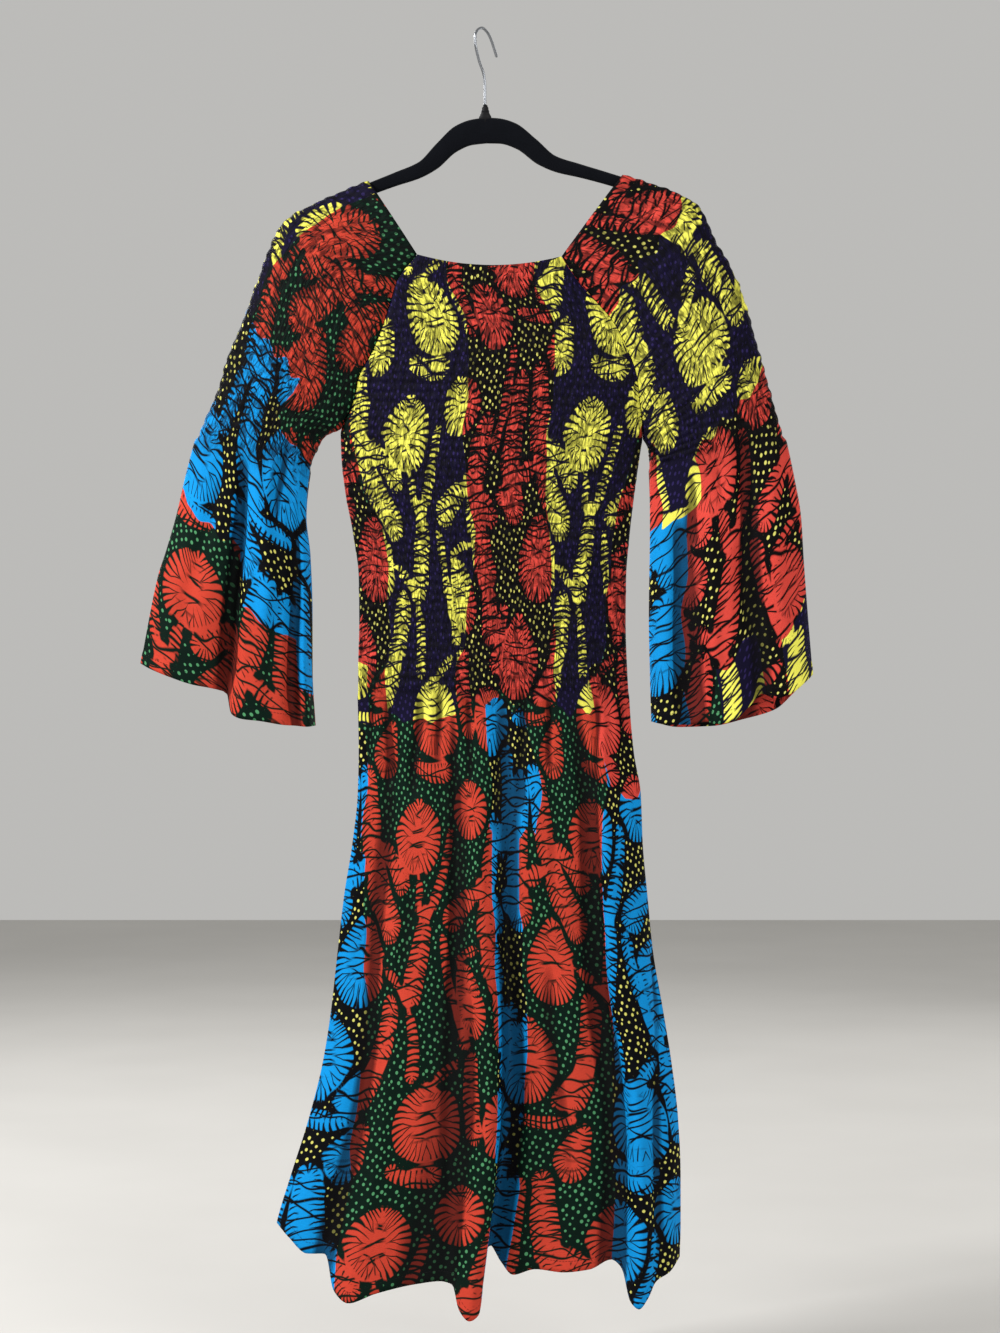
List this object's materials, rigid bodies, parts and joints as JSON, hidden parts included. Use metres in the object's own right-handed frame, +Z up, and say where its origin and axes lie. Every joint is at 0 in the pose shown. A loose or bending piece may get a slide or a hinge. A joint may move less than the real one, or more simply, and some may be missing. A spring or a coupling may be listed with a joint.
{
  "type": "dress on clothes hanger",
  "caption": "Wax-print dress with a shirred bodice, raglan bell sleeves and a flared midi skirt, hanging flat on a flocked hanger with a wire hook.",
  "frame": {"origin": "inside of the hook's crown, where a rail or rod holds the part", "axes": "+Z up, the dress's front faces -Y, +X is the right-hand side seen from the front"},
  "size_m": [0.672, 0.0944, 1.2806],
  "materials": {
    "wax_print": "printed plain-weave cotton, matte with a slight wax sheen, coral fronds on dotted grounds in blocks of red, blue and yellow",
    "hanger_flock": "black velvet flock",
    "hook_wire": "bright plated wire"
  },
  "bodies": {
    "root": {"dress_front": "wax_print", "dress_back": "wax_print", "sleeve_left": "wax_print", "sleeve_right": "wax_print", "hanger_body": "hanger_flock", "hanger_hook": "hook_wire"}
  },
  "joints": []
}
